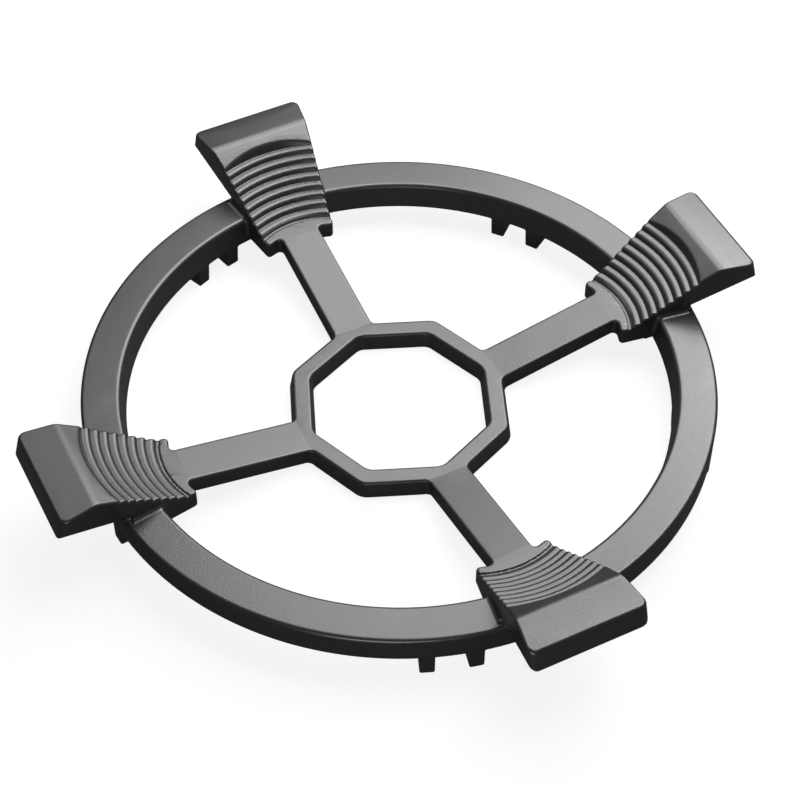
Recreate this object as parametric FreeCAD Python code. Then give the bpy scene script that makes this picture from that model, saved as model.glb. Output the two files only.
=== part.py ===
"""Pan support for a gas hob, cast in one piece.

A flat ring stands on pairs of lugs. Four sloping spokes carry an octagonal frame inside it.
Over each spoke's outer end a flared pad crosses the ring and rises outwards in stepped arcs.
Millimetres and degrees. +Z is up, Z = 0 is the plane that it stands on, and +X is the middle
of one pad.
"""
import FreeCAD
import Part
import math
import os

from FreeCAD import Vector

# Ring
ring_outer_radius = 102.2
ring_width = 12.6
ring_depth = 9.3
ring_inner_draft = 1.4
ring_outer_draft = 0.2
ring_top_bevel = 0.9

# Lugs under the ring, in pairs that straddle the prongs of a hob grate
lug_height = 7.7
lug_width = 4.7
lug_gap = 9.4
lug_inner_draft = 0.6
lug_foot_bevel = 0.6
prong_counts = (4, 5)

# Octagonal frame in the middle
frame_sides = 8
frame_inner_apothem = 28.6
frame_bar_width = 5.8
frame_height = 6.4
frame_draft = 1.1
frame_corner_round = 5.0
frame_top_bevel = 1.0

# Spokes
pad_count = 4
spoke_width = 13.8
spoke_depth = 6.4
spoke_top_round = 1.0

# Pad seen from above
shoulder_inset = 26.6
shoulder_half_width = 12.4
shoulder_notch = 2.0
shoulder_corner_round = 1.6
pad_flare = 9.3
pad_reach = 18.9
pad_corner_round = 1.8

# Pad seen from the side, heights above the ring's top
plateau_slope = 5.6
crest_reach = 6.9
crest_height = 16.1
crest_round = 4.5
inner_facet_slope = 28.0
outer_facet_slope = 4.0
underside_slope = 18.3
underside_height = 0.6
underside_blend = 2.0
pad_end_height = 9.0
pad_end_lean = 13.5
pad_rim_bevel = 0.9
pad_foot_bevel = 1.5

# Stepped arcs on the pad
step_count = 7
step_pitch = 2.76
step_rise = 1.785
first_riser_inset = 16.9
first_riser_radius = 32.1
riser_radius_growth = 1.89
first_tread_drop = 1.37
nose_bevel = 0.65
crescent_pitch = 2.5
crescent_radius = 45.3
crescent_lean = 20.0

# Groove between the plateau and the first tread
groove_width = 1.4
groove_depth = 0.7
groove_inset = 2.8

# Levels and radii that follow from the sizes above
ring_foot = lug_height
ring_top = ring_foot + ring_depth
ring_inner_radius = ring_outer_radius - ring_width
shoulder_radius = ring_outer_radius - shoulder_inset
crest_radius = ring_outer_radius + crest_reach
crest_level = ring_top + crest_height
pad_end_radius = ring_outer_radius + pad_reach
lug_middle_radius = ring_outer_radius - ring_width / 2
lug_spread = math.degrees(math.asin((lug_gap + lug_width) / 2 / lug_middle_radius))
overlap = 1.0
sky = crest_level + 20.0

ORIGIN = Vector(0, 0, 0)
UP = Vector(0, 0, 1)


def slope(degrees):
    """Rise for each millimetre outwards."""
    return math.tan(math.radians(degrees))


def turned(shape, degrees):
    """A copy of the shape, turned about the middle of the ring."""
    copy = shape.copy()
    copy.rotate(ORIGIN, UP, degrees)
    return copy


def face_from(points):
    """A flat face from (outwards, up) points in the plane through the pad's middle."""
    corners = [Vector(outwards, 0, up) for outwards, up in points]
    return Part.Face(Part.makePolygon(corners + corners[:1]))


def revolved(points):
    """The closed (radius, height) profile turned once about the middle."""
    return face_from(points).revolve(ORIGIN, UP, 360)


def across(points, half_width):
    """The (outwards, up) profile made as wide as half_width on each side."""
    face = face_from(points)
    face.translate(Vector(0, -half_width, 0))
    return face.extrude(Vector(0, 2 * half_width, 0))


def column(middle, radius, floor, lean=0.0):
    """An upright round cutter, its wall leaning outwards by lean degrees, from floor to the sky."""
    height = sky - floor
    foot = Vector(middle, 0, floor)
    if lean:
        cutter = Part.makeCone(radius, radius + height * slope(lean), height, foot)
    else:
        cutter = Part.makeCylinder(radius, height, foot)
    cutter.rotate(foot, UP, 180)
    return cutter


def circle_edges(shape, radius, level):
    """Edges that lie on a level circle of this radius."""
    found = []
    for edge in shape.Edges:
        curve = edge.Curve
        if isinstance(curve, Part.Circle):
            if abs(curve.Radius - radius) < 1e-4 and abs(curve.Center.z - level) < 1e-4:
                found.append(edge)
    return found


def edges_where(shape, test):
    """Edges of which both ends and the middle pass the test."""
    found = []
    for edge in shape.Edges:
        first, last = edge.ParameterRange
        points = [edge.valueAt(first + (last - first) * part) for part in (0.0, 0.5, 1.0)]
        if all(test(point) for point in points):
            found.append(edge)
    return found


def upright(edge):
    """True for an edge that climbs more than it runs."""
    start = edge.Vertexes[0].Point
    end = edge.Vertexes[-1].Point
    return abs(end.z - start.z) > math.hypot(end.x - start.x, end.y - start.y)


def ring_wall_radius(level):
    """Radius of the ring's drafted outer wall at a height."""
    return ring_outer_radius - ring_outer_draft * (ring_top - level) / ring_depth


def make_ring():
    """The flat ring, with drafted walls and eased top edges."""
    inner_foot = ring_inner_radius - ring_inner_draft
    outer_foot = ring_wall_radius(ring_foot)
    ring = revolved([(inner_foot, ring_foot), (outer_foot, ring_foot),
                     (ring_outer_radius, ring_top), (ring_inner_radius, ring_top)])
    tops = edges_where(ring, lambda point: abs(point.z - ring_top) < 1e-6)
    return ring.makeChamfer(ring_top_bevel, tops)


def lug_angles():
    """Middle of each pair: an evenly spaced set for each kind of grate, the first one shared."""
    angles = []
    for count in prong_counts:
        for index in range(count):
            angle = (180.0 + index * 360.0 / count) % 360.0
            if angle not in angles:
                angles.append(angle)
    return angles


def make_lug():
    """One lug, with its middle on +X, an upright outer end and a drafted inner end."""
    inner = ring_inner_radius - ring_inner_draft
    outer = ring_wall_radius(ring_foot)
    band = revolved([(inner, 0), (outer, 0), (outer, lug_height + overlap), (inner, lug_height + overlap)])
    block = Part.makeBox(2 * ring_width, lug_width, lug_height + overlap)
    block.translate(Vector(lug_middle_radius - ring_width, -lug_width / 2, 0))
    lug = band.common(block)
    feet = edges_where(lug, lambda point: abs(point.z) < 1e-6)
    lug = lug.makeChamfer(lug_foot_bevel, feet)
    lean = lug_inner_draft / lug_height
    draft = revolved([(inner - overlap, -overlap), (inner + lug_inner_draft + overlap * lean, -overlap),
                      (inner, lug_height), (inner - overlap, lug_height)])
    return lug.cut(turned(draft, 180))


def polygon_prism(foot_apothem, top_apothem):
    """A drafted regular prism with rounded corners, one of them on each pad's middle line."""
    slab = across([(-foot_apothem, 0), (foot_apothem, 0), (top_apothem, frame_height),
                   (-top_apothem, frame_height)], 2 * foot_apothem)
    prism = turned(slab, 180.0 / frame_sides)
    for index in range(1, frame_sides // 2):
        prism = prism.common(turned(slab, 180.0 / frame_sides + index * 360.0 / frame_sides))
    return prism.makeFillet(frame_corner_round, [edge for edge in prism.Edges if upright(edge)])


def make_frame():
    """The octagonal frame with drafted walls, rounded corners and eased top edges."""
    outer = frame_inner_apothem + frame_bar_width
    inner = frame_inner_apothem
    frame = polygon_prism(outer + frame_draft, outer).cut(polygon_prism(inner - frame_draft, inner))
    tops = edges_where(frame, lambda point: abs(point.z - frame_height) < 1e-6)
    return frame.makeChamfer(frame_top_bevel, tops)


def make_spoke():
    """A spoke that climbs from the frame's corner to the pad's shoulder."""
    start = frame_inner_apothem + frame_bar_width / 2
    end = shoulder_radius
    knee = frame_inner_apothem + frame_bar_width
    rise = ring_foot / (shoulder_radius - knee)
    top_start = spoke_depth - (knee - start) * rise
    spoke = across([(start, 0), (knee, 0), (end, (end - knee) * rise),
                    (end, spoke_depth + (end - knee) * rise), (start, top_start)], spoke_width / 2)
    top_edges = edges_where(spoke, lambda point: abs(abs(point.y) - spoke_width / 2) < 1e-6
                            and abs(point.z - top_start - (point.x - start) * rise) < 1e-6)
    return spoke.makeFillet(spoke_top_round, top_edges)


def pad_half_width(outwards):
    """Half of the pad's width at a distance from the middle of the ring."""
    return shoulder_half_width + (outwards - shoulder_radius) * slope(pad_flare)


def pad_plan(margin, start, end):
    """The pad's flared plan, made wider by the margin, from start to end along its middle."""
    near = pad_half_width(start) + margin
    far = pad_half_width(end) + margin
    corners = [Vector(start, -near, 0), Vector(end, -far, 0), Vector(end, far, 0), Vector(start, near, 0)]
    return Part.Face(Part.makePolygon(corners + corners[:1])).extrude(Vector(0, 0, sky))


def facet_level(outwards):
    """Height of the two facets of the pad's outer end, before the crest is rounded."""
    if outwards < crest_radius:
        return crest_level - (crest_radius - outwards) * slope(inner_facet_slope)
    return crest_level - (outwards - crest_radius) * slope(outer_facet_slope)


def underside_level(outwards):
    """Height of the pad's sloping underside, outside the ring."""
    return ring_top + underside_height + (outwards - ring_outer_radius) * slope(underside_slope)


def pad_sides():
    """The pad before its steps are cut: its side profile cut to its flared plan."""
    end_foot_radius = pad_end_radius + pad_end_height * slope(pad_end_lean)
    profile = [(shoulder_radius, ring_foot), (lug_middle_radius, ring_foot),
               (lug_middle_radius, underside_level(lug_middle_radius)),
               (end_foot_radius, underside_level(end_foot_radius)),
               (pad_end_radius, facet_level(pad_end_radius)), (crest_radius, crest_level),
               (shoulder_radius, facet_level(shoulder_radius))]
    root_foot = ring_top - 2 * ring_top_bevel
    root_top = underside_level(ring_outer_radius) + overlap
    root = revolved([(lug_middle_radius, root_foot), (ring_wall_radius(root_foot), root_foot),
                     (ring_wall_radius(root_top), root_top), (lug_middle_radius, root_top)])
    plan = pad_plan(0, shoulder_radius, end_foot_radius + overlap)
    body = across(profile, pad_half_width(end_foot_radius) + overlap).common(plan)
    body = body.fuse(turned(root, 180).common(plan)).removeSplitter()
    for side in (-1, 1):
        tip = Vector(shoulder_radius, side * shoulder_half_width, 0)
        apex = Vector(shoulder_radius + shoulder_notch, side * spoke_width / 2, 0)
        beside = Vector(shoulder_radius, side * spoke_width / 2, 0)
        wedge = Part.Face(Part.makePolygon([tip, apex, beside, tip])).extrude(Vector(0, 0, sky))
        body = body.cut(wedge)
    return body


def on_side(point):
    """True on either of the pad's upright side walls."""
    return abs(abs(point.y) - pad_half_width(point.x)) < 1e-4


def round_sides(pad):
    """Round the crest, the plan's corners and the join with the ring, and ease both rims."""
    crest = edges_where(pad, lambda point: abs(point.x - crest_radius) < 1e-6
                        and abs(point.z - crest_level) < 1e-6)
    pad = pad.makeFillet(crest_round, crest)
    corners = edges_where(pad, lambda point: on_side(point) and point.x > pad_end_radius - 1e-3)
    shoulders = edges_where(pad, lambda point: on_side(point) and point.x < shoulder_radius + 1e-3)
    pad = pad.makeFillet(pad_corner_round, [edge for edge in corners if upright(edge)])
    pad = pad.makeFillet(shoulder_corner_round, shoulders)
    join = edges_where(pad, lambda point: abs(point.z - underside_level(point.x)) < 1e-4
                       and abs(math.hypot(point.x, point.y) - ring_wall_radius(point.z)) < 1e-3)
    pad = pad.makeFillet(underside_blend, join)
    rim_start = crest_radius - crest_round
    outline = pad_plan(-pad_corner_round, shoulder_radius, pad_end_radius - pad_corner_round / 2)
    top_rim = edges_where(pad, lambda point: point.x > rim_start and point.z > facet_level(point.x) - 0.5
                          and not outline.isInside(point, 1e-3, True))
    top_rim = [edge for edge in top_rim if not upright(edge)]
    pad = pad.makeChamfer(pad_rim_bevel, top_rim)
    foot_rim = edges_where(pad, lambda point: point.x > ring_outer_radius + underside_blend / 2
                           and abs(point.z - underside_level(point.x)) < 1e-2)
    return pad.makeChamfer(pad_foot_bevel, foot_rim)


def riser(index):
    """Middle and radius of a riser's arc, counted from 1 at the inner end."""
    outwards = ring_outer_radius - first_riser_inset + (index - 1) * step_pitch
    radius = first_riser_radius + (index - 1) * riser_radius_growth
    return outwards - radius, radius


def tread_level(index):
    """Height of a tread, counted from 0 at the groove."""
    return ring_top - first_tread_drop + index * step_rise


def make_steps():
    """A block wider than the pad, with the stepped arcs, the plateau and the groove cut in its top."""
    block = pad_plan(2 * pad_corner_round, shoulder_radius - overlap, pad_end_radius + pad_reach)
    for index in range(step_count):
        middle, radius = riser(index + 1)
        block = block.cut(column(middle, radius, tread_level(index)))
    crescent_middle = sum(riser(step_count)) + crescent_pitch - crescent_radius
    block = block.cut(column(crescent_middle, crescent_radius, tread_level(step_count), crescent_lean))
    noses = []
    for index in range(1, step_count + 1):
        noses += circle_edges(block, riser(index)[1], tread_level(index))
    block = block.makeChamfer(nose_bevel, noses)
    middle, radius = riser(1)
    plateau_radius = radius - groove_inset
    plateau_end = middle + plateau_radius
    spoke_end = ring_foot + spoke_depth
    plateau_top = spoke_end + (plateau_end - shoulder_radius) * slope(plateau_slope)
    start = shoulder_radius - 2 * overlap
    start_level = spoke_end - 2 * overlap * slope(plateau_slope)
    end = plateau_end + overlap
    end_level = plateau_top + overlap * slope(plateau_slope)
    above = across([(start, start_level), (end, end_level), (end, sky), (start, sky)], ring_inner_radius)
    bowl = column(middle, plateau_radius, 0)
    groove = column(middle, plateau_radius, plateau_top - groove_depth)
    groove = groove.cut(column(middle, plateau_radius - groove_width, 0))
    return block.cut(bowl.common(above)).cut(groove)


def make_pad():
    """One flared pad with its stepped arcs, on +X."""
    return round_sides(pad_sides()).common(make_steps())


def make_support():
    """All of the casting, fused into one solid."""
    pieces = [make_frame()]
    lug = make_lug()
    for angle in lug_angles():
        pieces.append(turned(lug, angle + lug_spread))
        pieces.append(turned(lug, angle - lug_spread))
    spoke = make_spoke()
    pad = make_pad()
    for index in range(pad_count):
        angle = index * 360.0 / pad_count
        pieces.append(turned(spoke, angle))
        pieces.append(turned(pad, angle))
    return make_ring().fuse(pieces).removeSplitter()


if __name__ == "__main__":
    os.makedirs("parts", exist_ok=True)
    support = make_support()
    support.exportStep("parts/pan_support.step")
    print("solids", len(support.Solids), "volume mm3", round(support.Volume), "valid", support.isValid())
    print("box", support.BoundBox)
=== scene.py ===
"""Looks of a cast-iron pan support for a gas hob.

The casting's surface follows one rule: a distance that is negative inside the iron. Geometry Nodes
turn the rule into a fine mesh with the soft edges of a real casting, and it takes the place of the
plain solid. Sizes are stated in millimetres and kept in metres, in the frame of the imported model.
"""
import math
from types import SimpleNamespace

import bpy
from bpy.props import FloatProperty, FloatVectorProperty, IntProperty, PointerProperty
from mathutils import Matrix, Vector


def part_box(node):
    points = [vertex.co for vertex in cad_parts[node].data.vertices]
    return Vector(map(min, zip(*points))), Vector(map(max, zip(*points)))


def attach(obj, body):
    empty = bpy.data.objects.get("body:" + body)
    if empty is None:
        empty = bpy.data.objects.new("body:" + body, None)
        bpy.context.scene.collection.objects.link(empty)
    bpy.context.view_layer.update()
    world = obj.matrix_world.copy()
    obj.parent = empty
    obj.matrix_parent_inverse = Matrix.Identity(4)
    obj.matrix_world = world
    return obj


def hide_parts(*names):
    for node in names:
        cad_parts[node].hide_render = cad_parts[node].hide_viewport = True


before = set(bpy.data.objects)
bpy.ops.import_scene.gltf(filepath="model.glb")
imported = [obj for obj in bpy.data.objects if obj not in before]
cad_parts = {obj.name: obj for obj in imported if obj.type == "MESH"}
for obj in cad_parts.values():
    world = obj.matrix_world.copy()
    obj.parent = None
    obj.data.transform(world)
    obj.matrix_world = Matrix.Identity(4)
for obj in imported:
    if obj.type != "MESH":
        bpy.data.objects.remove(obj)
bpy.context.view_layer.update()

bl_info = {
    "name": "Cast pan support",
    "version": (1, 0, 0),
    "blender": (4, 5, 0),
    "location": "View3D > Sidebar > Pan support",
    "description": "A cast-iron pan support for a gas hob, and a pale stage for it",
    "category": "Object",
}

MM = 0.001
NODE = "pan_support"

# how many there are of what repeats
CAST_STEPS = 7
FRAME_SIDES = 8
PRONG_COUNTS = (4, 5)

# how far inside the ring's outer wall a claw's underside starts
RING_OVERLAP = 3.0 * MM
# space around the solid's box in which the surface is drawn
SURFACE_MARGIN = 2.0 * MM
# how far around a point the slope and the shading normal are measured
SLOPE_PROBE = 0.05 * MM
NORMAL_PROBE = 0.15 * MM
# limits that keep a division and a blend away from zero
LEAST_STEEPNESS = 0.25
LEAST_JOIN = 0.02

# shares of the grain and the mottle in the skin's tone, and the mottle's reach in its roughness
GRAIN_SHARE = 0.6
MOTTLE_SHARE = 0.4
ROUGHNESS_REACH = 0.12

# the stage: what the camera sees, and what lights the iron
PALE = (0.35, 0.35, 0.35, 1.0)
PLAIN = (0.05, 0.05, 0.05, 1.0)
WHITE = (1.0, 1.0, 1.0, 1.0)
FLOOR_GLOW = 0.87
ROOM_SEEN = 1.0
ROOM_LIGHT = 0.01


def length(name, millimetres, description):
    """A length property, stated in millimetres."""
    return FloatProperty(name=name, description=description, default=millimetres * MM, min=0.0,
                         precision=5, unit="LENGTH")


def angle(name, degrees, description):
    """An angle property, stated in degrees."""
    return FloatProperty(name=name, description=description, default=math.radians(degrees),
                         precision=4, subtype="ANGLE")


class CastingSizes(bpy.types.PropertyGroup):
    """Sizes of the casting. Each one is an input of the node tree that makes it."""

    ring_radius: length("Ring radius", 102.2, "From the middle to the ring's outer wall, at its top")
    ring_width: length("Ring width", 12.6, "Width of the ring's flat top")
    ring_depth: length("Ring depth", 9.3, "Height of the ring without its lugs")
    ring_inner_draft: length("Ring inner draft", 1.4, "How far the inner wall leans in at its foot")
    ring_round: length("Ring rounding", 1.3, "Rounding of the ring's top edges")

    lug_height: length("Lug height", 7.7, "From the standing plane to the ring's foot")
    lug_width: length("Lug width", 4.7, "Width of one lug along the ring")
    lug_gap: length("Lug gap", 9.4, "Space between the two lugs of a pair")
    lug_draft: length("Lug draft", 0.6, "How far a lug's inner end leans out towards its foot")
    lug_turn: angle("Lug turn", 0.35, "How far the cast lugs stand turned from the claws' middle lines")

    frame_apothem: length("Frame apothem", 28.6, "From the middle to a side of the octagonal opening")
    frame_bar: length("Frame bar", 5.8, "Thickness of the octagonal frame's bars, at their top")
    frame_draft: length("Frame draft", 1.1, "How much a bar's two sides lean out towards their foot")
    frame_height: length("Frame height", 6.4, "Height of the octagonal frame")
    frame_corner: length("Frame corner", 5.0, "Rounding of the frame's corners, seen from above")
    web_round: length("Web rounding", 1.2, "Rounding of the top edges of frame and spokes")

    spoke_width: length("Spoke width", 13.8, "Width of a spoke")
    spoke_depth: length("Spoke depth", 6.4, "Height of a spoke")

    shoulder_radius: length("Shoulder radius", 75.6, "From the middle to the inner corners of a claw")
    shoulder_half: length("Shoulder half width", 12.4, "Half of a claw's width at its inner corners")
    shoulder_notch: length("Shoulder notch", 1.7, "How much deeper the claw is cut beside its spoke")
    claw_flare: angle("Claw flare", 9.3, "How much each side of a claw turns outwards")
    claw_reach: length("Claw reach", 18.85, "From the ring's outer wall to the claw's end")
    claw_corner: length("Claw corner", 1.5, "Rounding of a claw's corners, seen from above")
    end_corner: length("End corner", 2.9, "Rounding of the two corners of a claw's end, seen from above")
    claw_rim: length("Claw rim", 0.9, "Rounding of a claw's top edges")
    claw_foot: length("Claw foot", 4.0, "Rounding of a claw's lower side edges outside the ring")
    end_foot: length("End foot", 0.8, "Rounding of the lower edge of a claw's end")
    notch_round: length("Notch rounding", 2.0, "Rounding of the notch between a claw and its spoke")

    plateau_slope: angle("Plateau slope", 5.6, "Climb of the smooth inner part of a claw")
    crest_reach: length("Crest reach", 6.9, "From the ring's outer wall to the crest")
    crest_height: length("Crest height", 16.05, "From the ring's top to the crest")
    crest_blend: length("Crest blend", 0.75, "Width over which the two facets of the crest blend")
    inner_facet: angle("Inner facet", 28.0, "Climb of the facet inside the crest")
    outer_facet: angle("Outer facet", 4.0, "Fall of the facet outside the crest")
    under_slope: angle("Underside slope", 18.3, "Climb of a claw's underside")
    under_height: length("Underside height", 0.6, "Height of the underside where it meets the ring")
    end_lean: angle("End lean", 13.5, "How much the end face leans out towards its foot")

    step_pitch: length("Step pitch", 2.76, "Distance from one stepped arc to the next")
    step_rise: length("Step rise", 1.785, "Height of one step")
    step_inset: length("Step inset", 16.9, "From the ring's outer wall in to the first arc")
    step_radius: length("Step radius", 32.1, "Radius of the first arc")
    step_growth: length("Step growth", 1.89, "How much larger each next arc's radius is")
    step_drop: length("Step drop", 1.37, "How far the lowest tread lies under the ring's top")
    nose_round: length("Nose rounding", 1.7, "Rounding of the steps' outer edges")
    riser_round: length("Riser foot rounding", 0.25, "Rounding of the inner corner at a riser's foot")
    crescent_pitch: length("Crescent pitch", 2.5, "From the last arc to the crescent wall")
    crescent_radius: length("Crescent radius", 45.3, "Radius of the crescent wall's foot")
    crescent_lean: angle("Crescent lean", 20.0, "How much the crescent wall leans outwards")
    groove_inset: length("Groove inset", 2.8, "From the first arc in to the groove's outer wall")
    groove_width: length("Groove width", 1.2, "Width of the curved groove")
    groove_depth: length("Groove depth", 0.5, "Depth of the curved groove")

    join_round: length("Join rounding", 1.6, "Rounding where the claws meet the ring")
    small_round: length("Small rounding", 0.5, "Rounding of the small inner corners of the casting")


class CastingDetail(bpy.types.PropertyGroup):
    """How finely the casting is made."""

    voxel: length("Voxel", 0.42, "Grid spacing from which the surface is drawn")
    draft_voxel: length("Draft voxel", 0.9, "Grid spacing of a quick try")
    triangles: IntProperty(name="Triangles", description="Most triangles that the finished mesh may have",
                           default=190000, min=1000)


class CastingFinish(bpy.types.PropertyGroup):
    """Colours and grain of the iron."""

    iron: FloatVectorProperty(name="Iron", description="Colour of the iron's skin", subtype="COLOR",
                              size=4, min=0.0, max=1.0, default=(0.17, 0.17, 0.17, 1.0))
    iron_light: FloatVectorProperty(name="Light iron", description="Colour of the skin's lighter grains",
                                    subtype="COLOR", size=4, min=0.0, max=1.0,
                                    default=(0.23, 0.23, 0.23, 1.0))
    metallic: FloatProperty(name="Metallic", description="How much the skin shines as bare metal does",
                            default=0.8, min=0.0, max=1.0, subtype="FACTOR")
    roughness: FloatProperty(name="Roughness", description="Roughness of the skin", default=0.31,
                             min=0.0, max=1.0, subtype="FACTOR")
    grain: length("Grain", 0.55, "Size of the sand grain that the mould leaves")
    grain_height: length("Grain height", 0.045, "Height of the sand grain")
    mottle: length("Mottle", 9.0, "Size of the slow changes of tone")


class StageLook(bpy.types.PropertyGroup):
    """Camera and stage."""

    elevation: angle("Elevation", 49.258, "How far the camera looks down")
    azimuth: angle("Azimuth", -26.717, "Turn of the camera about the vertical")
    roll: angle("Roll", 0.234, "Turn of the camera about its own line of sight")
    distance: length("Distance", 677.5, "From the camera to the ring's middle, along the line of sight")
    shift_right: length("Right", 0.21, "How far the camera stands to the right of the ring's middle")
    shift_down: length("Down", 7.31, "How far the camera stands below that line of sight")
    lens: FloatProperty(name="Lens", description="Focal length in millimetres", default=94.74, min=1.0)
    floor_size: length("Floor", 6000.0, "Side of the square floor")
    mirrored: FloatProperty(name="Mirrored", description="How much of the white stage the iron mirrors",
                            default=0.04, min=0.0, max=1.0, subtype="FACTOR")


class Value:
    """A number in a node tree. Python's operators on it add the Math nodes of the expression."""

    def __init__(self, sheet, socket):
        self.sheet = sheet
        self.socket = socket

    def __add__(self, other):
        return self.sheet.math("ADD", self, other)

    def __sub__(self, other):
        return self.sheet.math("SUBTRACT", self, other)

    def __mul__(self, other):
        return self.sheet.math("MULTIPLY", self, other)

    def __truediv__(self, other):
        return self.sheet.math("DIVIDE", self, other)

    def __rsub__(self, other):
        return self.sheet.math("SUBTRACT", other, self)

    def __rtruediv__(self, other):
        return self.sheet.math("DIVIDE", other, self)

    def __neg__(self):
        return self.sheet.math("MULTIPLY", self, -1.0)

    def __abs__(self):
        return self.sheet.math("ABSOLUTE", self)

    __radd__ = __add__
    __rmul__ = __mul__


class Sheet:
    """A node tree that is being written."""

    def __init__(self, tree):
        self.tree = tree

    def add(self, kind, settings=None, **values):
        """Adds a node: its settings first, then a value or a link for each named socket."""
        node = self.tree.nodes.new(kind)
        for name, setting in (settings or {}).items():
            setattr(node, name, setting)
        for name, value in values.items():
            self.feed(node.inputs[name.replace("_", " ")], value)
        return node

    def feed(self, socket, value):
        """Gives a socket its value, or links another socket to it."""
        if isinstance(value, Value):
            self.tree.links.new(value.socket, socket)
        elif isinstance(value, bpy.types.NodeSocket):
            self.tree.links.new(value, socket)
        else:
            socket.default_value = value

    def math(self, operation, *terms):
        """One Math node on numbers and Values."""
        node = self.tree.nodes.new("ShaderNodeMath")
        node.operation = operation
        for socket, term in zip(node.inputs, terms):
            self.feed(socket, term)
        return Value(self, node.outputs[0])

    def vector_math(self, operation, *terms):
        """One Vector Math node. A number feeds its Scale."""
        node = self.tree.nodes.new("ShaderNodeVectorMath")
        node.operation = operation
        if operation == "SCALE":
            self.feed(node.inputs[0], terms[0])
            self.feed(node.inputs["Scale"], terms[1])
        else:
            for socket, term in zip(node.inputs, terms):
                self.feed(socket, term)
        return node


def sheet_of(*terms):
    """The sheet on which the terms of an expression stand."""
    return next(term.sheet for term in terms if isinstance(term, Value))


def larger(first, second):
    """The larger of two numbers."""
    return sheet_of(first, second).math("MAXIMUM", first, second)


def smaller(first, second):
    """The smaller of two numbers."""
    return sheet_of(first, second).math("MINIMUM", first, second)


def root(value):
    """Square root."""
    return value.sheet.math("SQRT", value)


def sine(value):
    """Sine of an angle."""
    return value.sheet.math("SINE", value)


def cosine(value):
    """Cosine of an angle."""
    return value.sheet.math("COSINE", value)


def tangent(value):
    """Tangent of an angle."""
    return value.sheet.math("TANGENT", value)


def hypotenuse(first, second):
    """Distance from two sides at a right angle."""
    return root(first * first + second * second)


def wrapped(value, half):
    """The value brought between -half and half by whole turns of twice that."""
    return value.sheet.math("WRAP", value, half, -half)


def cut(first, second, radius):
    """Inside both walls, with the outer edge between them rounded."""
    past_first = larger(first + radius, 0.0)
    past_second = larger(second + radius, 0.0)
    return smaller(larger(first, second), -radius) + hypotenuse(past_first, past_second)


def joined(first, second, radius):
    """Inside either wall, with the inner corner between them filled by a round blend."""
    short_of_first = larger(radius - first, 0.0)
    short_of_second = larger(radius - second, 0.0)
    return larger(smaller(first, second), radius) - hypotenuse(short_of_first, short_of_second)


def blended(first, second, width):
    """The larger of two numbers, with a soft turn from one to the other."""
    near = larger(width - abs(first - second), 0.0) / width
    return larger(first, second) + near * near * width / 4.0


def octagon(place, apothem, corner):
    """Distance outwards from an upright octagon with rounded corners."""
    core = apothem - corner
    past_side = place.along_side_normal - core
    past_corner = place.along_side - core * math.tan(math.pi / FRAME_SIDES)
    outside = hypotenuse(larger(past_side, 0.0), larger(past_corner, 0.0))
    return smaller(past_side, 0.0) + outside - corner


def places(sheet, position):
    """The coordinates that the rule needs. out and side are along and across the nearest claw."""
    parts = sheet.add("ShaderNodeSeparateXYZ", Vector=position)
    x, y, z = (Value(sheet, socket) for socket in parts.outputs)
    turn = sheet.math("ARCTAN2", y, x)
    radius = hypotenuse(x, y)
    half_side = math.pi / FRAME_SIDES
    from_side = wrapped(turn - half_side, half_side)
    return SimpleNamespace(
        z=z, turn=turn, radius=radius,
        out=larger(abs(x), abs(y)),
        side=smaller(abs(x), abs(y)),
        along_side_normal=radius * cosine(from_side),
        along_side=abs(radius * sine(from_side)),
    )


def levels(size):
    """Heights and radii that follow from the sizes."""
    ring_foot = size.lug_height
    ring_top = ring_foot + size.ring_depth
    crest_radius = size.ring_radius + size.crest_reach
    first_riser = size.ring_radius - size.step_inset
    return SimpleNamespace(
        ring_foot=ring_foot, ring_top=ring_top,
        ring_middle=size.ring_radius - size.ring_width / 2.0,
        crest_radius=crest_radius, crest=ring_top + size.crest_height,
        claw_end=size.ring_radius + size.claw_reach,
        first_riser=first_riser,
        knee=size.frame_apothem + size.frame_bar,
        plateau_end=first_riser - size.groove_inset,
    )


def lug_pairs(size, level, place, count):
    """Distance across the nearest lug of an evenly spaced set of pairs, the first of them at -X."""
    half_step = math.pi / count
    from_pair = abs(wrapped(place.turn - size.lug_turn - math.pi, half_step))
    half_pair = (size.lug_gap + size.lug_width) / 2.0
    spread = size.lug_gap.sheet.math("ARCSINE", half_pair / level.ring_middle)
    return abs(place.radius * sine(from_pair - spread)) - size.lug_width / 2.0


def ring_rule(size, level, place):
    """The flat ring and the lugs under it."""
    lean = (level.ring_top - place.z) / size.ring_depth * size.ring_inner_draft
    inner_radius = size.ring_radius - size.ring_width
    walls = larger(place.radius - size.ring_radius, inner_radius - lean - place.radius)
    lugs = None
    for count in PRONG_COUNTS:
        pairs = lug_pairs(size, level, place, count)
        lugs = pairs if lugs is None else smaller(lugs, pairs)
    lug_end = inner_radius - size.ring_inner_draft - place.radius
    lug_lean = (level.ring_foot - place.z) / size.lug_height * size.lug_draft
    lugs = cut(lugs, lug_end + lug_lean, size.small_round)
    foot = joined(level.ring_foot - place.z, lugs, size.small_round)
    ring = cut(walls, place.z - level.ring_top, size.ring_round)
    ring = cut(ring, foot, size.small_round)
    return cut(ring, -place.z, size.small_round)


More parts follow.
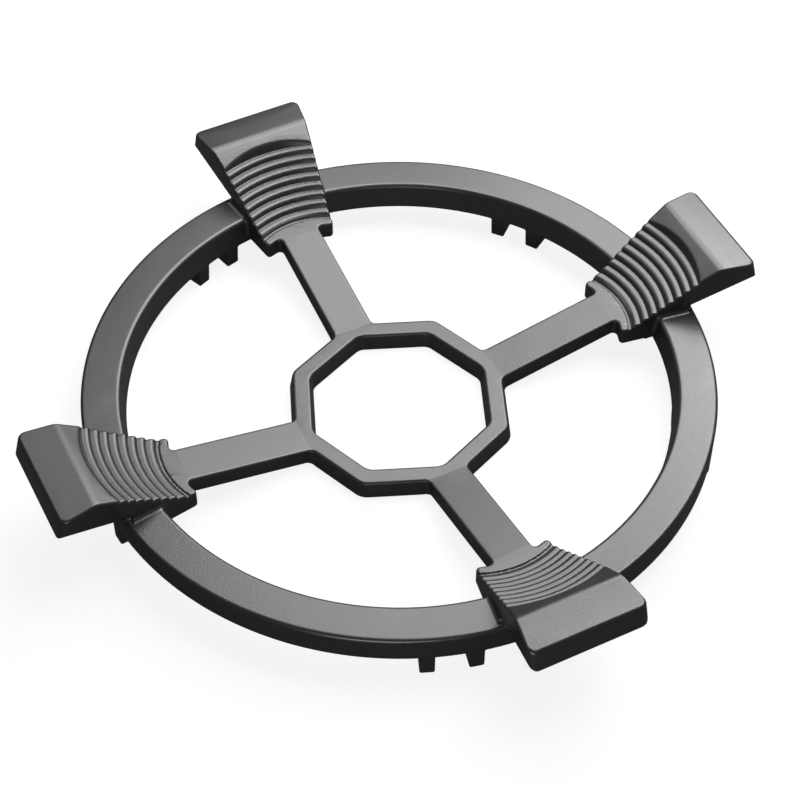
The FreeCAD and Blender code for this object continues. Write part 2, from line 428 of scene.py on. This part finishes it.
def claw_plan(size, level, place):
    """A claw seen from above: flared sides, notched shoulder and leaning end. Gives the sides and
    the whole plan."""
    flare = tangent(size.claw_flare)
    half_width = size.shoulder_half + (place.out - size.shoulder_radius) * flare
    sides = (place.side - half_width) * cosine(size.claw_flare)
    half_spoke = size.spoke_width / 2.0
    notch_slope = size.shoulder_notch / (size.shoulder_half - half_spoke)
    shoulder_line = size.shoulder_radius + (size.shoulder_half - place.side) * notch_slope
    shoulder = (shoulder_line - place.out) / root(notch_slope * notch_slope + 1.0)
    end_slope = tangent(size.end_lean)
    end_top = level.crest - (level.claw_end - level.crest_radius) * tangent(size.outer_facet)
    end_line = level.claw_end + (end_top - place.z) * end_slope
    end = (place.out - end_line) * cosine(size.end_lean)
    return sides, cut(cut(sides, end, size.end_corner), shoulder, size.claw_corner)


def step_rule(size, level, place):
    """The stepped arcs: each tread is solid under its level, outside its arc."""
    first_middle = level.first_riser - size.step_radius
    shoulder = size.shoulder_radius - place.out
    groove_arc = size.step_radius - size.groove_inset
    from_first = hypotenuse(place.out - first_middle, place.side)
    tread = level.ring_top - size.step_drop
    steps = cut(place.z - tread, groove_arc - from_first, size.nose_round)
    for index in range(CAST_STEPS):
        arc = size.step_radius + size.step_growth * float(index)
        middle = level.first_riser + size.step_pitch * float(index) - arc
        riser = arc - hypotenuse(place.out - middle, place.side)
        tread = tread + size.step_rise
        steps = joined(steps, cut(place.z - tread, riser, size.nose_round), size.riser_round)
    last_riser = level.first_riser + size.step_pitch * float(CAST_STEPS - 1)
    middle = last_riser + size.crescent_pitch - size.crescent_radius
    crescent_arc = size.crescent_radius + (place.z - tread) * tangent(size.crescent_lean)
    wall = (crescent_arc - hypotenuse(place.out - middle, place.side)) * cosine(size.crescent_lean)
    inner = place.z - level.crest + (level.crest_radius - place.out) * tangent(size.inner_facet)
    outer = place.z - level.crest + (place.out - level.crest_radius) * tangent(size.outer_facet)
    facets = blended(inner * cosine(size.inner_facet), outer * cosine(size.outer_facet), size.crest_blend)
    steps = joined(larger(steps, facets), cut(wall, facets, size.small_round), size.riser_round)
    return larger(steps, shoulder), from_first - groove_arc


def arm_rule(size, level, place):
    """The octagonal frame with its spokes and claws."""
    lean = (size.frame_height - place.z) / size.frame_height * size.frame_draft
    lean = larger(smaller(lean, size.frame_draft), 0.0)
    outer = octagon(place, size.frame_apothem + size.frame_bar, size.frame_corner) - lean
    inner = octagon(place, size.frame_apothem, size.frame_corner) + lean
    spoke = larger(place.side - size.spoke_width / 2.0, size.frame_apothem + size.frame_bar / 2.0 - place.out)
    spoke = larger(spoke, place.out - level.first_riser)
    plan = joined(larger(outer, -inner), spoke, size.web_round)
    sides, claw = claw_plan(size, level, place)
    plan = joined(plan, claw, size.notch_round)

    climb = level.ring_foot / (size.shoulder_radius - level.knee)
    past_knee = (place.out - level.knee) * climb
    plateau_start = level.ring_foot + size.spoke_depth
    plateau = plateau_start + (place.out - size.shoulder_radius) * tangent(size.plateau_slope)
    web_top = smaller(larger(size.spoke_depth + past_knee, size.frame_height), plateau)
    steps, past_groove = step_rule(size, level, place)
    groove = larger(larger(past_groove, -size.groove_width - past_groove),
                    plateau - size.groove_depth - place.z)
    low_top = cut(place.z - web_top, -groove, size.small_round / 2.0)
    top = joined(low_top, steps, size.small_round)
    body = cut(top, plan, size.claw_rim)

    foot = smaller(larger(past_knee, 0.0), level.ring_foot)
    inside_ring = larger(foot - place.z, place.radius - size.ring_radius + RING_OVERLAP)
    past_ring = place.out - size.ring_radius
    under_level = level.ring_top + size.under_height + past_ring * tangent(size.under_slope)
    under = (under_level - place.z) * cosine(size.under_slope)
    under = larger(under, level.ring_middle - place.radius)
    lower_side = cut(sides, under, size.claw_foot)
    body = cut(body, smaller(inside_ring, under), size.end_foot)
    return larger(body, smaller(inside_ring, lower_side))


def distance_rule(size, sheet, position):
    """Distance to the casting's surface, negative inside the iron."""
    level = levels(size)
    place = places(sheet, position)
    ring = ring_rule(size, level, place)
    arms = arm_rule(size, level, place)
    above_foot = (place.z - level.ring_foot - size.join_round) / size.join_round
    reach = larger(smaller(above_foot, 1.0), LEAST_JOIN) * size.join_round
    return joined(ring, arms, reach)


def size_sockets(tree, sizes):
    """Adds a named input for each size to the tree, and returns them by the property's name."""
    sockets = {}
    for key in sizes.__annotations__:
        prop = sizes.bl_rna.properties[key]
        socket = tree.interface.new_socket(name=prop.name, in_out="INPUT", socket_type="NodeSocketFloat")
        socket.default_value = prop.default
        sockets[key] = socket
    return sockets


def distance_group():
    """Node group that gives the distance to the casting at a position."""
    tree = bpy.data.node_groups.new("Distance to the casting", "GeometryNodeTree")
    tree.interface.new_socket(name="Position", in_out="INPUT", socket_type="NodeSocketVector")
    tree.interface.new_socket(name="Distance", in_out="OUTPUT", socket_type="NodeSocketFloat")
    sockets = size_sockets(tree, CastingSizes)
    sheet = Sheet(tree)
    given = sheet.add("NodeGroupInput")
    size = SimpleNamespace(**{key: Value(sheet, given.outputs[socket.name])
                              for key, socket in sockets.items()})
    distance = distance_rule(size, sheet, given.outputs["Position"])
    sheet.add("NodeGroupOutput", Distance=distance)
    return tree


class Casting:
    """A node tree around the distance rule, with the sizes as its inputs."""

    def __init__(self, name, rule):
        self.rule = rule
        self.tree = bpy.data.node_groups.new(name, "GeometryNodeTree")
        self.tree.interface.new_socket(name="Geometry", in_out="INPUT", socket_type="NodeSocketGeometry")
        self.tree.interface.new_socket(name="Geometry", in_out="OUTPUT", socket_type="NodeSocketGeometry")
        self.sockets = size_sockets(self.tree, CastingSizes)
        self.sheet = Sheet(self.tree)
        self.given = self.sheet.add("NodeGroupInput")
        self.position = self.sheet.add("GeometryNodeInputPosition").outputs[0]

    def distance(self, offset=(0.0, 0.0, 0.0)):
        """The distance at the point itself, or beside it."""
        place = self.sheet.vector_math("ADD", self.position, offset).outputs[0]
        node = self.sheet.add("GeometryNodeGroup", {"node_tree": self.rule}, Position=place)
        for socket in self.sockets.values():
            self.sheet.feed(node.inputs[socket.name], self.given.outputs[socket.name])
        return Value(self.sheet, node.outputs["Distance"])

    def gradient(self, probe):
        """Steepest direction of the distance, from four probes around the point."""
        total = None
        for corner in ((1, -1, -1), (-1, -1, 1), (-1, 1, -1), (1, 1, 1)):
            offset = Vector(corner) * probe
            weight = self.distance(offset) / (4.0 * probe)
            part = self.sheet.vector_math("SCALE", tuple(map(float, corner)), weight).outputs[0]
            total = part if total is None else self.sheet.vector_math("ADD", total, part).outputs[0]
        return total

    def settled(self, mesh):
        """The mesh with each point moved along the gradient onto the surface."""
        gradient = self.gradient(SLOPE_PROBE)
        square = self.sheet.vector_math("DOT_PRODUCT", gradient, gradient).outputs["Value"]
        step = -self.distance() / larger(Value(self.sheet, square), LEAST_STEEPNESS)
        offset = self.sheet.vector_math("SCALE", gradient, step).outputs[0]
        return self.sheet.add("GeometryNodeSetPosition", Geometry=mesh, Offset=offset).outputs[0]

    def finish(self, mesh, material):
        """Ends the tree."""
        mesh = self.sheet.add("GeometryNodeRealizeInstances", Geometry=mesh).outputs[0]
        mesh = self.sheet.add("GeometryNodeSetMaterial", Geometry=mesh, Material=material).outputs[0]
        self.sheet.add("NodeGroupOutput", Geometry=mesh)
        return self.tree


def casting_tree(rule, low, high, material):
    """Tree that draws the casting's surface from a grid of distances."""
    casting = Casting("Cast pan support", rule)
    sheet = casting.sheet
    voxel = casting.tree.interface.new_socket(name="Voxel", in_out="INPUT", socket_type="NodeSocketFloat")
    voxel.default_value = 1.0 * MM
    spacing = Value(sheet, casting.given.outputs["Voxel"])
    counts = [sheet.math("CEIL", (high[axis] - low[axis]) / spacing) for axis in range(3)]
    volume = sheet.add("GeometryNodeVolumeCube", Density=-casting.distance(), Background=-1.0,
                       Min=low, Max=high, Resolution_X=counts[0], Resolution_Y=counts[1],
                       Resolution_Z=counts[2])
    mesh = sheet.add("GeometryNodeVolumeToMesh", {"resolution_mode": "GRID"},
                     Volume=volume.outputs[0], Threshold=0.0).outputs[0]
    mesh = casting.settled(casting.settled(mesh))
    return casting.finish(mesh, material)


def finishing_tree(rule, material):
    """Tree that sets the thinned mesh on the surface again and gives it the surface's own normals."""
    casting = Casting("Smooth casting", rule)
    mesh = casting.settled(casting.given.outputs["Geometry"])
    mesh = casting.sheet.add("GeometryNodeSetShadeSmooth", Geometry=mesh).outputs[0]
    normal = casting.sheet.vector_math("NORMALIZE", casting.gradient(NORMAL_PROBE)).outputs[0]
    mesh = casting.sheet.add("GeometryNodeSetMeshNormal", {"mode": "FREE", "domain": "POINT"}, Mesh=mesh,
                             Custom_Normal=normal).outputs[0]
    return casting.finish(mesh, material)


def run_tree(thing, tree, sizes, **extra):
    """Puts the tree on the object as a modifier and sets its inputs."""
    modifier = thing.modifiers.new(tree.name, "NODES")
    modifier.node_group = tree
    values = {sizes.bl_rna.properties[key].name: getattr(sizes, key) for key in CastingSizes.__annotations__}
    values.update(extra)
    for socket in tree.interface.items_tree:
        if socket.in_out == "INPUT" and socket.name in values:
            modifier[socket.identifier] = values[socket.name]


def applied(thing):
    """Turns the object's modifiers into its mesh, and returns it."""
    graph = bpy.context.evaluated_depsgraph_get()
    mesh = bpy.data.meshes.new_from_object(thing.evaluated_get(graph), depsgraph=graph)
    thing.modifiers.clear()
    thing.data = mesh
    return mesh


def new_object(name):
    """An empty mesh object at the origin."""
    thing = bpy.data.objects.new(name, bpy.data.meshes.new(name))
    bpy.context.scene.collection.objects.link(thing)
    return thing


def iron_material(finish):
    """Sand-cast iron: fine grain, slow changes of tone and a low sheen."""
    material = bpy.data.materials.new("Sand-cast iron")
    material.use_nodes = True
    tree = material.node_tree
    tree.nodes.clear()
    sheet = Sheet(tree)
    place = sheet.add("ShaderNodeTexCoord").outputs["Object"]
    grain = sheet.add("ShaderNodeTexNoise", Vector=place, Scale=1.0 / finish.grain, Detail=2.0, Roughness=0.6)
    mottle = sheet.add("ShaderNodeTexNoise", Vector=place, Scale=1.0 / finish.mottle, Detail=3.0,
                       Roughness=0.55)
    grains = Value(sheet, grain.outputs[0])
    slow = Value(sheet, mottle.outputs[0])
    tone = sheet.math("MULTIPLY_ADD", grains, GRAIN_SHARE, slow * MOTTLE_SHARE)
    colour = sheet.add("ShaderNodeMix", {"data_type": "RGBA"})
    sheet.feed(colour.inputs["Factor"], tone)
    sheet.feed(colour.inputs[6], tuple(finish.iron))
    sheet.feed(colour.inputs[7], tuple(finish.iron_light))
    roughness = finish.roughness + (slow - 0.5) * ROUGHNESS_REACH
    bump = sheet.add("ShaderNodeBump", Height=grains, Distance=finish.grain_height, Strength=1.0)
    skin = sheet.add("ShaderNodeBsdfPrincipled", Base_Color=colour.outputs[2], Roughness=roughness,
                     Metallic=finish.metallic, Normal=bump.outputs[0])
    sheet.add("ShaderNodeOutputMaterial", Surface=skin.outputs[0])
    return material


class PANSUPPORT_OT_casting(bpy.types.Operator):
    """Make the casting's fine surface and let it stand for the plain solid"""

    bl_idname = "pan_support.casting"
    bl_label = "Casting"

    def execute(self, context):
        scene = context.scene
        sizes = scene.casting_sizes
        detail = scene.casting_detail
        material = iron_material(scene.casting_finish)
        voxel = detail.voxel
        low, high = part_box(NODE)
        margin = Vector((SURFACE_MARGIN, SURFACE_MARGIN, SURFACE_MARGIN))
        rule = distance_group()
        casting = new_object("casting")
        run_tree(casting, casting_tree(rule, low - margin, high + margin, material), sizes, Voxel=voxel)
        mesh = applied(casting)
        mesh.calc_loop_triangles()
        found = len(mesh.loop_triangles)
        if not found:
            raise RuntimeError("the casting's surface is empty")
        if found > detail.triangles:
            thin = casting.modifiers.new("Thin", "DECIMATE")
            thin.ratio = detail.triangles / found
        run_tree(casting, finishing_tree(rule, material), sizes)
        applied(casting)
        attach(casting, "root")
        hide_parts(NODE)
        return {"FINISHED"}


def stage_seen(sheet, look):
    """1 for the camera's own rays and for those through glass, less for those that the iron mirrors."""
    path = sheet.add("ShaderNodeLightPath")
    mirrored = Value(sheet, path.outputs["Is Glossy Ray"]) * look.mirrored
    seen = Value(sheet, path.outputs["Is Camera Ray"])
    through_glass = Value(sheet, path.outputs["Is Transmission Ray"])
    return larger(larger(seen, through_glass), mirrored)


def floor_material(look):
    """Pale floor: white with a soft shadow to the camera, and a plain grey in the light it gives."""
    material = bpy.data.materials.new("Pale floor")
    material.use_nodes = True
    tree = material.node_tree
    tree.nodes.clear()
    sheet = Sheet(tree)
    pale = sheet.add("ShaderNodeBsdfDiffuse", Color=PALE)
    glow = sheet.add("ShaderNodeEmission", Color=WHITE, Strength=FLOOR_GLOW)
    bright = sheet.add("ShaderNodeAddShader")
    sheet.feed(bright.inputs[0], pale.outputs[0])
    sheet.feed(bright.inputs[1], glow.outputs[0])
    plain = sheet.add("ShaderNodeBsdfDiffuse", Color=PLAIN)
    both = sheet.add("ShaderNodeMixShader")
    sheet.feed(both.inputs[0], stage_seen(sheet, look))
    sheet.feed(both.inputs[1], plain.outputs[0])
    sheet.feed(both.inputs[2], bright.outputs[0])
    sheet.add("ShaderNodeOutputMaterial", Surface=both.outputs[0])
    return material


def pale_world(look):
    """World: white behind the object, and a dim even light on it."""
    world = bpy.data.worlds.new("Pale room")
    world.use_nodes = True
    tree = world.node_tree
    tree.nodes.clear()
    sheet = Sheet(tree)
    white = sheet.add("ShaderNodeBackground", Color=WHITE, Strength=ROOM_SEEN)
    dim = sheet.add("ShaderNodeBackground", Color=WHITE, Strength=ROOM_LIGHT)
    both = sheet.add("ShaderNodeMixShader")
    sheet.feed(both.inputs[0], stage_seen(sheet, look))
    sheet.feed(both.inputs[1], dim.outputs[0])
    sheet.feed(both.inputs[2], white.outputs[0])
    sheet.add("ShaderNodeOutputWorld", Surface=both.outputs[0])
    bpy.context.scene.world = world


# angles in degrees, distances and sizes in metres, power in watts
LAMPS = {
    "high_right_softbox": dict(azimuth=0.0, elevation=66.0, distance=0.9, size=0.41, power=1.52),
    "high_back_left_softbox": dict(azimuth=80.0, elevation=66.0, distance=0.9, size=0.41, power=0.4),
    "high_back_lamp": dict(azimuth=60.0, elevation=66.0, distance=0.45, size=0.2, power=0.165),
    "middle_right_lamp": dict(azimuth=20.0, elevation=44.0, distance=0.45, size=0.2, power=0.34),
    "middle_back_lamp": dict(azimuth=60.0, elevation=44.0, distance=0.45, size=0.2, power=0.145),
    "middle_back_left_lamp": dict(azimuth=80.0, elevation=44.0, distance=0.45, size=0.2, power=0.055),
    "middle_left_lamp": dict(azimuth=120.0, elevation=44.0, distance=0.45, size=0.2, power=0.09),
    "low_right_lamp": dict(azimuth=0.0, elevation=34.0, distance=0.45, size=0.2, power=0.12),
    "low_back_right_lamp": dict(azimuth=40.0, elevation=34.0, distance=0.45, size=0.2, power=0.215),
    "floor_front_lamp": dict(azimuth=240.0, elevation=8.0, distance=0.3, size=0.14, power=0.085),
}


def add_lamp(name, azimuth, elevation, distance, size, power):
    """A square softbox that looks at the middle of the object."""
    lamp = bpy.data.lights.new(name, "AREA")
    lamp.shape = "SQUARE"
    lamp.size = size
    lamp.energy = power
    thing = bpy.data.objects.new(name, lamp)
    thing.visible_camera = False
    turn = Matrix.Rotation(math.radians(azimuth), 4, "Z")
    lift = Matrix.Rotation(-math.radians(elevation), 4, "Y")
    direction = (turn @ lift) @ Vector((1.0, 0.0, 0.0))
    thing.location = direction * distance
    thing.rotation_euler = direction.to_track_quat("Z", "Y").to_euler()
    bpy.context.scene.collection.objects.link(thing)


class PANSUPPORT_OT_stage(bpy.types.Operator):
    """Set up the floor, the light and the camera"""

    bl_idname = "pan_support.stage"
    bl_label = "Stage"

    def execute(self, context):
        scene = context.scene
        look = scene.stage_look
        sizes = scene.casting_sizes
        half = look.floor_size / 2.0
        mesh = bpy.data.meshes.new("floor")
        mesh.from_pydata([(-half, -half, 0.0), (half, -half, 0.0), (half, half, 0.0), (-half, half, 0.0)],
                         [], [(0, 1, 2, 3)])
        floor = bpy.data.objects.new("floor", mesh)
        scene.collection.objects.link(floor)
        floor.data.materials.append(floor_material(look))
        pale_world(look)
        for name, lamp in LAMPS.items():
            add_lamp(name, **lamp)

        camera = bpy.data.cameras.new("camera")
        camera.sensor_fit = "HORIZONTAL"
        camera.sensor_width = 36.0
        camera.lens = look.lens
        camera.clip_end = 20.0
        turn = Matrix.Rotation(look.azimuth, 4, "Z")
        tilt = Matrix.Rotation(math.pi / 2.0 - look.elevation, 4, "X")
        roll = Matrix.Rotation(look.roll, 4, "Z")
        middle = Matrix.Translation((0.0, 0.0, sizes.lug_height + sizes.ring_depth))
        back = Matrix.Translation((look.shift_right, -look.shift_down, look.distance))
        thing = bpy.data.objects.new("camera", camera)
        thing.matrix_world = middle @ turn @ tilt @ roll @ back
        scene.collection.objects.link(thing)
        scene.camera = thing
        scene.view_settings.view_transform = "Standard"
        return {"FINISHED"}


class VIEW3D_PT_pan_support(bpy.types.Panel):
    """Sizes, finish and stage of the pan support"""

    bl_label = "Pan support"
    bl_space_type = "VIEW_3D"
    bl_region_type = "UI"
    bl_category = "Pan support"

    def draw(self, context):
        layout = self.layout
        scene = context.scene
        for title, group, operator in (
            ("Casting", scene.casting_sizes, PANSUPPORT_OT_casting.bl_idname),
            ("Detail", scene.casting_detail, None),
            ("Finish", scene.casting_finish, None),
            ("Stage", scene.stage_look, PANSUPPORT_OT_stage.bl_idname),
        ):
            box = layout.box()
            box.label(text=title)
            for key in type(group).__annotations__:
                box.prop(group, key)
            if operator:
                box.operator(operator)


CLASSES = (CastingSizes, CastingDetail, CastingFinish, StageLook, PANSUPPORT_OT_casting,
           PANSUPPORT_OT_stage, VIEW3D_PT_pan_support)
GROUPS = {
    "casting_sizes": CastingSizes,
    "casting_detail": CastingDetail,
    "casting_finish": CastingFinish,
    "stage_look": StageLook,
}


def register():
    for item in CLASSES:
        bpy.utils.register_class(item)
    for name, group in GROUPS.items():
        setattr(bpy.types.Scene, name, PointerProperty(type=group))


def unregister():
    for name in GROUPS:
        delattr(bpy.types.Scene, name)
    for item in reversed(CLASSES):
        bpy.utils.unregister_class(item)


def main():
    """Makes the object and its stage."""
    register()
    bpy.ops.pan_support.casting()
    bpy.ops.pan_support.stage()


if __name__ == "__main__":
    main()
